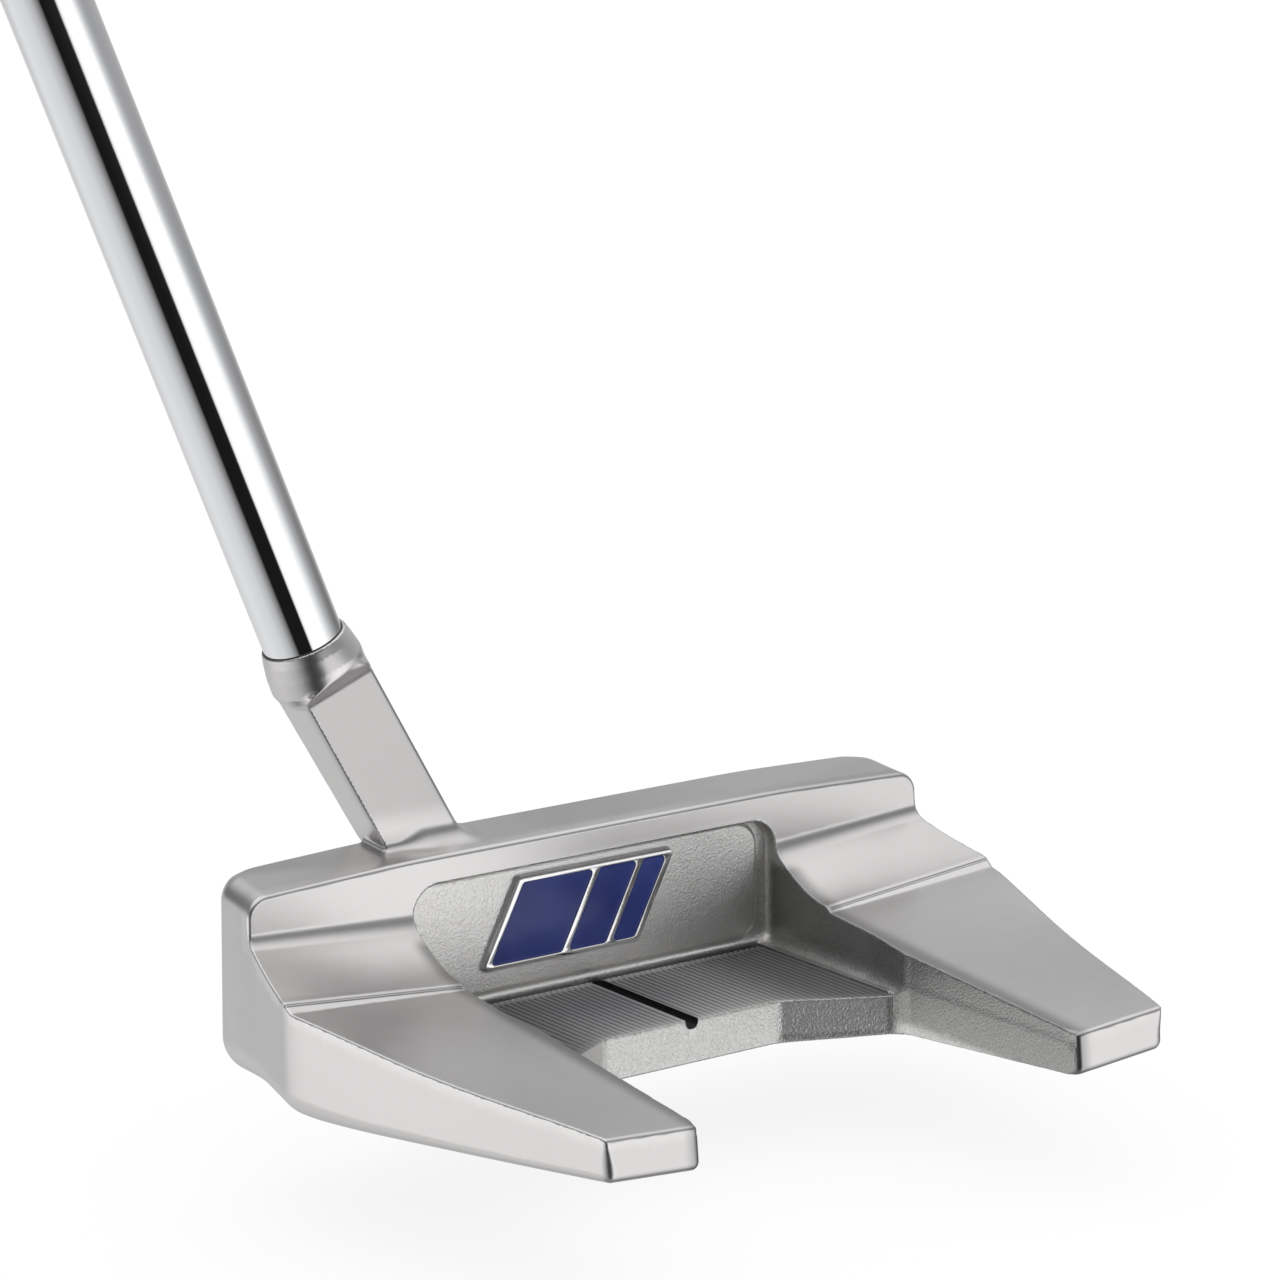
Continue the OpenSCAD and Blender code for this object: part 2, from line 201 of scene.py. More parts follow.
def wing_height(a, y):
    """Top of a wing: the hollow slope, the step down at its ridge, and the long fang."""
    crease = 17.8 + 0.0563 * (a - 26.6)
    ridge_y = 20.15 + 0.0308 * (a - 26.3)
    ridge_z = 12.96 + 0.1013 * (a - 26.3)
    sag = np.clip(0.95 - 0.030 * (a - 26.3), 0.2, 1.0)
    t = np.clip((y - 10) / (ridge_y - 10), -0.2, 1.6)
    slope = crease + (ridge_z - crease) * t - sag * 4 * t * (1 - t)
    slope = np.where(t > 1, ridge_z - 0.10 * (y - ridge_y), slope)
    drop = ridge_z - 0.72 * (y - ridge_y)
    top = (slope + drop - np.sqrt((slope - drop) ** 2 + 0.006)) / 2
    fang = 12.31 + 0.089 * (a - 26.3) - 0.0899 * (y - 21.1)
    hollow = np.sin(math.pi * np.clip((y - 24) / 42, 0, 1)) ** 1.5
    fang = fang - 0.6 * hollow * np.clip((a - 26.3) / 16, 0, 1.2)
    return (top + fang + np.sqrt((top - fang) ** 2 + 0.004)) / 2


def sole_height(a, y):
    """The sole, flat in the middle and rising to the rear and to both ends."""
    return 0.078 * (ramp(y - 24.5, 4.0) - 0.1) + 0.0875 * ramp(a - 26.3, 0.6)


def head_field(x, y, z):
    """The head's casting, with its pocket, bores, seats and recess."""
    a = np.abs(x)
    fx = np.interp(y, FLANK_Y, FLANK_X)
    slope = np.interp(y, FLANK_Y, FLANK_DX)
    out = (a - fx) / np.sqrt(1 + slope * slope)
    face = 0.05 * z - y
    outline = meet(out, face, 2.7)
    # rounded block under the topline, and the profile that steps down to the wings
    top = z - (26.1 - 0.115 * (y - 1.3) - 0.04 * ramp(a - 27, 3.0))
    end_r = 0.8 + 1.8 * step(-5, 1, out - face)
    shell = meet(top, outline, end_r)
    wing = (z - wing_height(a, y)) * 0.96
    profile = join(y - 10, wing, 1.2)
    solid = meet(profile, shell, 0.28 + 0.22 * step(18.5, 22, z))
    # tips: crisp along the top edge, softer down the sides
    tip = y - (66.1 + 0.0435 * (a - 26.6) + 0.09 * (9 - z))
    solid = meet(solid, tip, 0.4 + 0.6 * step(-0.2, -3.2, wing))
    # sole
    r_sole = 2.0 - 0.9 * step(20, 60, y)
    r_sole = r_sole + 2.4 * step(38, 46, a) * (1 - step(5, 35, y))
    solid = meet(solid, sole_height(a, y) - z, r_sole)
    # pocket, its badge panel, and the space behind the tongue
    solid = cut(solid, pocket_field(a, y, z), 0.22)
    panel = meet(rounded_rect(x, z, 0.65, 14.25, 24.85, 7.35, 3.2), y - 8.7, 0.45)
    solid = join(solid, panel, 0.25)
    bead = np.hypot(a - 24.45, z - FLOOR_Z + 0.05) - 0.42
    bead = meet(bead, np.maximum(y - 34.6, 8 - y), 0.3)
    solid = join(solid, bead, 0.12)
    # bed for the grooved floor
    bed = np.maximum(np.maximum(a - 24.2, 8.74 - y), 4.2 - z)
    bed = np.maximum(bed, z - 7.8)
    solid = np.maximum(solid, -bed)
    solid = cut(solid, notch_field(a, y, 0.03), 0.3 + 0.7 * step(-2.0, -0.4, tip))
    # seats and bores for the sole weights
    radius = np.hypot(a - 36, y - 17)
    solid = cut(solid, np.maximum(radius - 7.5, z - 3.55), 0.3)
    solid = cut(solid, np.maximum(radius - 6.05, z - 11.35), 0.1)
    # recess for the face insert
    insert = np.maximum(rounded_rect(a, z, 0, 13.4, 37.1, 8.3, 8.1), y - 0.05 * z - 4.2)
    return cut(solid, insert, 0.15)


NECK_LEAN = math.radians(61.3)


def neck_field(x, y, z):
    """The slanted shank and the collar round the shaft, with the distance u to the heel."""
    u = (x - 22.2) * math.sin(NECK_LEAN) - (z - 26.1) * math.cos(NECK_LEAN)
    heel = u - 4.3
    toe = -u - 5.1
    front = -0.7 - 0.055 * (z - 28) - y
    shank = meet(meet(heel, front, 0.5), meet(toe, front, 1.8), 0.6)
    shank = np.maximum(shank, y - 9.5)
    # a chin closes the part that stands proud of the face
    shank = meet(shank, -0.8 * (y + 0.6) - 0.6 * (z - 25.8), 0.7)
    dx, dy, dz = x - COLLAR[0], y - COLLAR[1], z - COLLAR[2]
    s = dx * SHAFT_DIR[0] + dz * SHAFT_DIR[2]
    rho = np.sqrt(np.maximum(dx * dx + dy * dy + dz * dz - s * s, 0))
    radius = np.interp(s, [-8.6, -7.4, -6.2, -5.3, -4.5, -2.5, -0.7, 0.5],
                       [0.5, 2.4, 4.3, 5.25, 5.55, 5.5, 5.25, 4.97])
    swell = np.interp(s, [-6.6, -5.2, -4.2, -2.7, -1.2, 0.5], [0, 0.25, 0.38, 0.45, 0.3, 0.15])
    radius = radius + swell * step(0, -4.5, u)
    collar = meet((rho - radius) * 0.94, s - LIP_S, 0.15)
    shank = meet(shank, s + 4.3, 0.8 + 1.3 * step(0, -4, u))
    solid = join(shank, collar, 0.6 + 0.7 * step(0, -4, u))
    # the ramp behind the collar, and the flat rear face below it
    keep = join(y - 6, (y - 6 - (s + 5.9)) * 0.7071, 0.2)
    solid = meet(solid, keep, 0.22 + 0.4 * step(0, -3, u))
    return solid, u


def casting_field(x, y, z):
    """Head and neck in one surface, with a fillet between them."""
    solid = head_field(x, y, z)
    near = (x > 8) & (z > 19)
    if near.any():
        xs, ys, zs = x[near], y[near], z[near]
        neck, u = neck_field(xs, ys, zs)
        r = 2.4 - 1.3 * step(-1.0, 3.0, u)
        solid[near] = join(solid[near], neck, r)
    return solid


def blast_mask(x, y, z):
    """1 on the sand-blasted surfaces of the pocket, 0 on the satin ones."""
    a = np.abs(x)
    air = np.minimum(pocket_field(a, y, z), notch_field(a, y))
    return 1 - step(0.08, 0.4, air)


def painted_light_mask(x, y, z):
    """Painted light and shade, as a factor on the base colour: the pocket's side walls are painted
    the dullest.
    """
    a = np.abs(x)
    mottle_and_painted_light = np.ones(x.shape)
    # pocket: painted shade on the side walls and on the badge panel's foot, painted highlights on
    # the badge panel and on the slanted walls behind the tongue, and painted shade on the tongue's
    # rear wall
    over = step(2.0, 2.8, z)
    side = step(23.2, 24.0, a) * step(28.5, 26.5, a) * step(16.5, 15.5, z) * over
    mottle_and_painted_light -= side * step(8.6, 9.4, y) * np.interp(y, [9, 16, 27, 33], [0.58, 0.44, 0.38, 0.43])
    panel = step(9.0, 8.85, y) * step(8.0, 8.2, y) * step(26.2, 25.6, a)
    mottle_and_painted_light += 0.4 * panel * step(5.9, 6.6, z) * step(22.2, 21.8, z)
    foot = step(9.6, 9.2, y) * step(6.5, 6.0, z) * step(24.4, 23.6, a) * step(8.0, 8.3, y)
    mottle_and_painted_light -= 0.4 * foot * over
    slant = step(12.2, 12.8, a) * step(24.6, 23.6, a) * step(27.8, 28.3, y)
    mottle_and_painted_light += 0.35 * slant * step(5.9, 5.7, z) * over
    mottle_and_painted_light -= 0.12 * step(12.8, 12.2, a) * step(27.8, 28.3, y)
    # painted shade dulls the shank's rear face, and a painted highlight brightens the collar's toe
    # side
    s = (x - COLLAR[0]) * SHAFT_DIR[0] + (z - COLLAR[2]) * SHAFT_DIR[2]
    mottle_and_painted_light -= 0.24 * step(4.4, 6.0, y) * step(28, 31, z) * step(-5.5, -6.3, s)
    mottle_and_painted_light += 0.2 * step(-6.2, -5.2, s) * step(COLLAR[0] + 1, COLLAR[0] - 4, x)
    # the satin top: painted highlights brighten the slopes and wings, and painted light and shade
    # runs along the top line, duller at its heel end
    top = step(1.5, 0.8, np.abs(z - wing_height(a, y))) * step(26.2, 28, a)
    heel = step(-10, 10, x)
    mottle_and_painted_light += top * step(9.5, 13, y) * step(20.6, 19.6, y) * (0.07 + 0.15 * heel)
    mottle_and_painted_light += top * step(20.2, 21.5, y) * (0.05 + 0.06 * heel)
    rail = step(8.4, 7.6, y) * step(25.0, 25.4, z) * step(28, 26.6, z) * (a < 49)
    mottle_and_painted_light += rail * np.interp(x, [-30, -5, 5, 12, 30, 38], [0.06, -0.1, -0.12, -0.05, -0.08, -0.2])
    # painted light and shade on the steep band under the top line: darker at the toe, brighter at
    # the middle and heel
    band = step(8.1, 8.5, y) * step(10.5, 9.5, y) * step(17.6, 18.4, z)
    return mottle_and_painted_light + band * np.interp(x, [-36, -28, -10, 5, 34], [-0.13, -0.08, 0.1, 0.12, 0.09])


# ---------------------------------------------------------------- meshing a field
def mesh_field(field, lo, hi, h):
    """Surface nets on a grid that is only sampled near the surface."""
    k = 4
    lo, hi = np.array(lo, float), np.array(hi, float)
    n = np.ceil((hi - lo) / (h * k)).astype(int)
    mids = [lo[i] + (np.arange(n[i]) + 0.5) * h * k for i in range(3)]
    grid = np.stack(np.meshgrid(*mids, indexing="ij"), -1).reshape(-1, 3)
    rough = field(grid[:, 0], grid[:, 1], grid[:, 2]).reshape(n)
    near = np.abs(rough) < 0.5 * math.sqrt(3) * h * k * 1.35
    sign = np.where(rough < 0, -1.0, 1.0).astype(np.float32)
    for axis in range(3):
        sign = np.repeat(sign, k, axis)
        sign = np.concatenate([sign, np.take(sign, [-1], axis)], axis)
    todo = np.zeros(sign.shape, bool)
    for i in range(k + 1):
        for j in range(k + 1):
            for m in range(k + 1):
                todo[i:i + (n[0] - 1) * k + 1:k, j:j + (n[1] - 1) * k + 1:k,
                     m:m + (n[2] - 1) * k + 1:k] |= near
    where = np.argwhere(todo)
    p = lo + where * h
    values = sign
    values[todo] = field(p[:, 0], p[:, 1], p[:, 2])
    inside = values < 0
    count = np.zeros(tuple(d - 1 for d in inside.shape), np.int8)
    corners = [(i, j, m) for i in (0, 1) for j in (0, 1) for m in (0, 1)]
    sl = [slice(0, -1), slice(1, None)]
    for c in corners:
        count += inside[sl[c[0]], sl[c[1]], sl[c[2]]]
    active = (count > 0) & (count < 8)
    cells = np.argwhere(active)
    ident = np.full(active.shape, -1, np.int32)
    ident[active] = np.arange(len(cells))
    pos = np.zeros((len(cells), 3))
    weight = np.zeros(len(cells))
    for c0 in corners:
        for axis in range(3):
            if c0[axis]:
                continue
            c1 = list(c0)
            c1[axis] = 1
            f0 = values[tuple((cells + c0).T)]
            f1 = values[tuple((cells + c1).T)]
            mixed = (f0 < 0) != (f1 < 0)
            t = np.where(mixed, f0 / np.where(mixed, f0 - f1, 1), 0)
            q = np.array(c0, float) + t[:, None] * (np.array(c1) - np.array(c0))
            pos[mixed] += q[mixed]
            weight[mixed] += 1
    verts = lo + (cells + pos / weight[:, None]) * h
    quads = []
    for axis in range(3):
        b, c = (axis + 1) % 3, (axis + 2) % 3
        lo_sl, hi_sl = [slice(None)] * 3, [slice(None)] * 3
        for q in (b, c):
            lo_sl[q] = hi_sl[q] = slice(1, -1)
        lo_sl[axis], hi_sl[axis] = slice(0, -1), slice(1, None)
        s0, s1 = inside[tuple(lo_sl)], inside[tuple(hi_sl)]
        for flip, mask in ((False, s0 & ~s1), (True, ~s0 & s1)):
            e = np.argwhere(mask)
            base = e.copy()
            ring = []
            for ob, oc in ((0, 0), (1, 0), (1, 1), (0, 1)):
                cell = base.copy()
                cell[:, b] += ob
                cell[:, c] += oc
                ring.append(ident[tuple(cell.T)])
            quad = np.stack(ring, 1)
            quads.append(quad[:, ::-1] if flip else quad)
    return verts, np.concatenate(quads)


def gradient(field, p, e=0.01):
    g = np.empty_like(p)
    for axis in range(3):
        q0, q1 = p.copy(), p.copy()
        q0[:, axis] -= e
        q1[:, axis] += e
        g[:, axis] = (field(*q1.T) - field(*q0.T)) / (2 * e)
    return g


def settle(field, p, limit, rounds=3):
    """Moves points onto the field's surface, each by no more than the limit."""
    start = p.copy()
    for _ in range(rounds):
        g = gradient(field, p)
        f = field(*p.T)
        p = p - (f / np.maximum((g * g).sum(1), 0.25))[:, None] * g
        move = p - start
        size = np.linalg.norm(move, axis=1, keepdims=True)
        p = start + move * np.minimum(1, limit / np.maximum(size, 1e-9))
    return p


def smooth_normals(piece, field):
    """Sets each vertex's normal from the field."""
    co = np.empty(len(piece.data.vertices) * 3)
    piece.data.vertices.foreach_get("co", co)
    p = co.reshape(-1, 3) / MM + (0, LEAD, 0)
    g = gradient(field, p, 0.02)
    g /= np.maximum(np.linalg.norm(g, axis=1, keepdims=True), 1e-9)
    piece.data.polygons.foreach_set("use_smooth", [True] * len(piece.data.polygons))
    piece.data.normals_split_custom_set_from_vertices(g.tolist())
    return p


def add_value(piece, name, values):
    """Stores one number per vertex for the materials to read."""
    layer = piece.data.attributes.new(name, "FLOAT", "POINT")
    layer.data.foreach_set("value", np.asarray(values, np.float32))


def build_casting():
    h = 0.27
    verts, quads = mesh_field(casting_field, (-52, -4.5, -1.5), (52, 69, 54), h)
    verts = settle(casting_field, verts, h)
    piece = add_piece("head_casting", verts, quads, ("head_body", "hosel_neck"))
    triangles = 2 * len(quads)
    if triangles > 190000:
        thin = piece.modifiers.new("thin", "DECIMATE")
        thin.ratio = 190000 / triangles
        apply_modifiers(piece)
    p = smooth_normals(piece, casting_field)
    add_value(piece, "blast", blast_mask(*p.T))
    # painted light and shade: a factor on the steel's base colour at each vertex
    add_value(piece, "mottle_and_painted_light", painted_light_mask(*p.T))
    print("casting", len(verts), "vertices,", len(piece.data.polygons), "faces")
    return piece


casting = build_casting()


# ---------------------------------------------------------------- grooved floor
GROOVE_PITCH = 0.82
GROOVE_FIRST = 1.5
FLOOR_EDGE = 24.26


def rear_edge(a):
    """Depth of the tongue's rear outline at each distance from the centre line."""
    lo, hi = np.full(a.shape, 27.0), np.full(a.shape, 40.0)
    for _ in range(40):
        mid = (lo + hi) / 2
        air = notch_field(a, mid) < 0
        lo, hi = np.where(air, lo, mid), np.where(air, mid, hi)
    return lo


def build_floor():
    """The milled floor: grooves with a pit at each front end, and the tongue's rear wall."""
    step_x = GROOVE_PITCH / 8
    half = np.concatenate([[0.0, 0.3, 0.6, 0.8], np.arange(GROOVE_FIRST - GROOVE_PITCH / 2,
                                                      24.0, step_x), [24.1, FLOOR_EDGE]])
    half = np.unique(np.round(half, 4))
    xs = np.concatenate([-half[:0:-1], half])
    a = np.abs(xs)
    rear = rear_edge(a)
    phase = (a - GROOVE_FIRST) / GROOVE_PITCH
    trough = (0.5 + 0.5 * np.cos(2 * math.pi * phase)) ** 0.9
    trough *= (a > GROOVE_FIRST - GROOVE_PITCH / 2) & (a < GROOVE_FIRST + 27.5 * GROOVE_PITCH)
    # shade holds painted shade for each row: a darker colour in the groove troughs, the pits and
    # the moat
    rows, shade = [], []
    # front strip, with a narrow moat along the badge panel and the row of pits
    for y in (8.64, 8.8, 8.92, 9.02, 9.18, 9.28, 9.38, 9.48, 9.6, 9.72, 9.86, 10.2):
        moat = 0.28 * float(step(9.02, 8.88, np.array(y)))
        dimple = 0.6 * math.exp(-((y - 9.33) / 0.17) ** 2)
        run = 0.26 * float(step(9.6, 9.86, np.array(y)))
        level = FLOOR_Z - moat - trough * (dimple + run)
        rows.append(np.stack([xs, np.full(xs.shape, y), level], 1))
        shade.append(np.clip(trough * (dimple * 2 + run * 3.6) + moat * 1.6, 0, 1))
    # the grooves get shallower to the rear, and end in a rounded edge
    for t in (0.25, 0.5, 0.75, 0.92):
        depth = 0.26 - 0.2 * t ** 4
        rows.append(np.stack([xs, 10.2 + (rear - 10.5) * t, FLOOR_Z - depth * trough], 1))
        shade.append(trough * (0.94 - 0.5 * t ** 5))
    for back, fall in ((0.3, 0.0), (0.12, 0.02), (0.04, 0.07), (0.0, 0.18)):
        depth = 0.05 - 0.2 * fall
        rows.append(np.stack([xs, rear - back, FLOOR_Z - fall - depth * trough], 1))
        shade.append(trough * (0.3 - 1.5 * fall))
    solid_rows = len(rows)
    for z in (5.2, 4.6, 3.0, 1.5):
        rows.append(np.stack([xs, rear, np.full(xs.shape, z)], 1))
    rows.append(np.stack([xs, np.full(xs.shape, 8.64), np.full(xs.shape, 1.5)], 1))
    n, m = len(rows), len(xs)
    points = np.concatenate(rows)
    faces = []
    for i in range(n):
        j = (i + 1) % n
        for k in range(m - 1):
            faces.append((i * m + k, i * m + k + 1, j * m + k + 1, j * m + k))
    faces.append([i * m for i in range(n)])
    faces.append([i * m + m - 1 for i in reversed(range(n))])
    piece = add_piece("pocket_floor", points, faces)
    dark = np.zeros(len(points))
    dark[:solid_rows * m] = np.concatenate(shade)
    add_value(piece, "painted_groove_shade", dark)
    wall = points[:, 1] > np.tile(rear, n) - 0.02
    # painted shade: the pocket floor's colour falls to half towards the side walls; the wall behind
    # the tongue gets the casting's painted light and shade
    floor_painted_shade = 1 - 0.5 * step(8, 20, np.abs(points[:, 0]))
    wall_painted_light = painted_light_mask(points[:, 0], points[:, 1] + 0.05, np.full(len(points), 3.0))
    add_value(piece, "mottle_and_painted_light", np.where(wall, wall_painted_light, floor_painted_shade))
    add_value(piece, "floor", (~wall).astype(float))
    add_value(piece, "blast", wall.astype(float))
    return piece


# ---------------------------------------------------------------- sight line
SLOT_W = 0.92  # half width
SLOT_DEEP = 1.18


def loft_rings(rings):
    """Faces of a closed tube of equal rings, capped at both ends."""
    m = len(rings[0])
    faces = [(i * m + k, i * m + (k + 1) % m, (i + 1) * m + (k + 1) % m, (i + 1) * m + k)
             for i in range(len(rings) - 1) for k in range(m)]
    faces.append(list(range(m))[::-1])
    faces.append([(len(rings) - 1) * m + k for k in range(m)])
    return np.concatenate(rings), faces


def slot_outline(grow, n=12):
    """Plan of the sight line, running out through the tongue's rear wall."""
    r = SLOT_W + grow
    out = []
    for cy, turn in ((30.0, 0.0), (9.62, math.pi)):
        ang = np.linspace(0, math.pi, n) + turn
        out.append(np.stack([r * np.cos(ang), cy + r * np.sin(ang)], 1))
    return np.concatenate(out)


def slot_rings(grow, top):
    """Levels of a round-bottomed slot."""
    rings = []
    for t in (82, 66, 50, 34, 17, 0):
        t = math.radians(t)
        z = FLOOR_Z - SLOT_DEEP + SLOT_W - (SLOT_W + grow) * math.sin(t)
        flat = slot_outline(grow - (SLOT_W + grow) * (1 - math.cos(t)))
        rings.append(np.column_stack([flat, np.full(len(flat), z)]))
    flat = slot_outline(grow)
    rings.append(np.column_stack([flat, np.full(len(flat), top)]))
    return rings


def slot_tool(name, grow, top):
    return bare_mesh(name, *loft_rings(slot_rings(grow, top)))


def cut_out(piece, tool):
    mod = piece.modifiers.new("cut", "BOOLEAN")
    mod.operation = "DIFFERENCE"
    mod.solver = "EXACT"
    mod.object = tool
    apply_modifiers(piece)
    bpy.data.objects.remove(tool)


def box_tool(name, lo, hi):
    p = [(x, y, z) for z in (lo[2], hi[2]) for y in (lo[1], hi[1]) for x in (lo[0], hi[0])]
    f = [(0, 2, 3, 1), (4, 5, 7, 6), (0, 1, 5, 4), (2, 6, 7, 3), (0, 4, 6, 2), (1, 3, 7, 5)]
    return bare_mesh(name, p, f)


def build_sight_line(floor_piece):
    cut_out(floor_piece, slot_tool("slot", 0.0, FLOOR_Z + 1))
    # the cut's new vertices come without the painted light and shade factor; they get 0.88, the
    # painted shade of the wall behind the tongue
    for item in floor_piece.data.attributes["mottle_and_painted_light"].data:
        item.value = max(item.value, 0.44) if item.value > 0.4 else 0.88
    shade_by_angle(floor_piece, 35)
    points, faces = loft_rings(slot_rings(-0.012, FLOOR_Z - 0.04))
    paint = add_piece("sight_line", points, faces, ("sight_line_paint",))
    cut_out(paint, slot_tool("slot", -0.1, FLOOR_Z + 1))
    cut_out(paint, box_tool("behind", (-3, 28.47, 0), (3, 32, 9)))
    shade_by_angle(paint, 35)
    return paint


# ---------------------------------------------------------------- badge
BADGE_X, BADGE_Z, BADGE_LEAN, BADGE_H = 16.6, 9.7, 0.52, 10.8
BARS = ((0.9, 10.1), (11.9, 5.4), (18.2, 3.3))


def slanted(x0, w, z0, h, grow, r, n=6):
    """A leaning four-sided plate outline, grown and with rounded corners, as (x, z)."""
    c = np.array([(-x0 - z0 * BADGE_LEAN, z0), (-x0 - (z0 + h) * BADGE_LEAN, z0 + h),
                  (-x0 - w - (z0 + h) * BADGE_LEAN, z0 + h), (-x0 - w - z0 * BADGE_LEAN, z0)])
    c += (BADGE_X, BADGE_Z)
    out = []
    for i in range(4):
        p, a, b = c[i], c[i - 1], c[(i + 1) % 4]
        u = (p - a) / np.linalg.norm(p - a)
        v = (b - p) / np.linalg.norm(b - p)
        nu, nv = np.array([u[1], -u[0]]), np.array([v[1], -v[0]])
        # the corner's round is centred r inside both sides
        m = (nu + nv) / (1 + nu @ nv)
        centre = p - m * r
        a0 = math.atan2(nu[1], nu[0])
        a1 = math.atan2(nv[1], nv[0])
        while a1 < a0:
            a1 += 2 * math.pi
        rr = max(r + grow, 0.02)
        for t in np.linspace(a0, a1, n):
            out.append(centre + rr * np.array([math.cos(t), math.sin(t)]))
    return np.array(out)


def at_depth(flat, y):
    """A plan in X and Z, set at one Y."""
    return np.column_stack([flat[:, 0], np.full(len(flat), y), flat[:, 1]])


def build_badge():
    """A bright plate with three wells, and an enamel fill in each."""
    plate_y = 8.68
    outer = [(0.16, plate_y), (0.14, 8.95), (0.08, 9.15), (-0.16, 9.50), (-0.20, 9.56),
             (-0.26, 9.58)]
    shape = (0, 22.6, 0, BADGE_H)
    loops = [at_depth(slanted(*shape, g, 0.7), y) for g, y in outer]
    m = len(loops[0])
    points, faces = list(np.concatenate(loops)), []
    for i in range(len(loops) - 1):
        for k in range(m):
            faces.append((i * m + k, i * m + (k + 1) % m, (i + 1) * m + (k + 1) % m,
                          (i + 1) * m + k))
    faces.append(list(range(m))[::-1])
    rim = [list(range((len(loops) - 1) * m, len(loops) * m))]
    well = [(0.10, 9.58), (0.05, 9.565), (0.02, 9.53), (0.0, 9.15)]
    enamel_parts = []
    for x0, w in BARS:
        bar = (x0, w, 0.7, BADGE_H - 1.4)
        base = len(points)
        for g, y in well:
            points += list(at_depth(slanted(*bar, g, 0.5), y))
        for i in range(len(well) - 1):
            for k in range(m):
                faces.append((base + i * m + k, base + i * m + (k + 1) % m,
                              base + (i + 1) * m + (k + 1) % m, base + (i + 1) * m + k))
        faces.append([base + (len(well) - 1) * m + k for k in range(m)])
        rim.append(list(range(base, base + m)))
        enamel_parts.append([at_depth(slanted(*bar, g, 0.5), y) for g, y in
                             ((-0.01, 9.12), (-0.01, 9.44), (-0.06, 9.42), (-0.16, 9.405),
                              (-0.45, 9.425))])
    flat = [[Vector((points[i][0], points[i][2], 0)) for i in loop] for loop in rim]
    order = [i for loop in rim for i in loop]
    for tri in tessellate_polygon(flat):
        faces.append([order[i] for i in tri])
    frame_piece = add_piece("badge_plate", points, faces,
                            ("badge_frame",))
    fix_normals(frame_piece)
    shade_by_angle(frame_piece, 32)
    points, faces = [], []
    for loops in enamel_parts:
        base = len(points)
        p, f = loft_rings(loops)
        points += list(p)
        faces += [[base + i for i in face] for face in f]
    enamel = add_piece("badge_bars", points, faces, ("badge_enamel",))
    fix_normals(enamel)
    shade_by_angle(enamel, 40)
    return frame_piece, enamel


def fix_normals(piece):
    bm = bmesh.new()
    bm.from_mesh(piece.data)
    bmesh.ops.recalc_face_normals(bm, faces=bm.faces)
    bm.to_mesh(piece.data)
    bm.free()


# ---------------------------------------------------------------- shaft and grip
TOP_S = 864 - COLLAR[2] / math.sin(LIE)


def on_shaft(s, radial):
    """Points at distance s up the shaft, from (heel-ward, rear-ward) offsets."""
    radial = np.asarray(radial, float)
    return (COLLAR + SHAFT_DIR * s + radial[:, :1] * SHAFT_SIDE + radial[:, 1:] * SHAFT_BACK)


def lathe(profile, n):
    """Closed turned shape on the shaft's line from (radius, s) pairs."""
    t = np.arange(n) * 2 * math.pi / n
    circle = np.stack([np.cos(t), np.sin(t)], 1)
    return loft_rings([on_shaft(s, circle * r) for r, s in profile])


def shaft_radius(s):
    return np.interp(s, [0, 230, TOP_S - 180, TOP_S], [4.7, 4.7, 7.6, 7.6])


def build_shaft():
    stations = np.concatenate([[-2.4], np.linspace(0.2, 229, 24), np.linspace(230, TOP_S - 180, 24),
                               [TOP_S - 8]])
    points, faces = lathe([(float(shaft_radius(s)), float(s)) for s in stations], 160)
    shaft = add_piece("shaft_tube", points, faces, ("shaft",))
    fix_normals(shaft)
    shade_by_angle(shaft, 40)
    ring = [(4.705, LIP_S - 0.3), (4.86, LIP_S - 0.3), (4.86, LIP_S + 0.02), (4.83, LIP_S + 0.07),
            (4.76, LIP_S + 0.11), (4.705, LIP_S + 0.12)]
    points, faces = lathe(ring, 96)
    faces = [f for f in faces if len(f) == 4]
    m, last = 96, len(ring) - 1
    faces += [(last * m + k, last * m + (k + 1) % m, (k + 1) % m, k) for k in range(m)]
    seal = add_piece("shaft_ring", points, faces, ("shaft_epoxy",))
    fix_normals(seal)
    shade_by_angle(seal, 50)
    return shaft, seal


GRIP_LO, GRIP_HI, FLAT = 542.3, TOP_S - 3.0, 10.6


def grip_reach(theta, round_r, bulge_r):
    """Distance from the shaft's line to the grip's surface, by angle from the heel side."""
    side = 3.2 * np.sin(theta)
    bulge = 3.2 * np.cos(theta) + np.sqrt(np.maximum(bulge_r ** 2 - side ** 2, 0.01))
    full = np.log(np.exp(3.0 * round_r) + np.exp(3.0 * bulge)) / 3.0
    full = np.minimum(full, np.maximum(round_r, bulge) + 0.12)
    flat = FLAT / np.maximum(-np.cos(theta), 0.05)
    return (full ** -26.0 + flat ** -26.0) ** (-1 / 26.0)


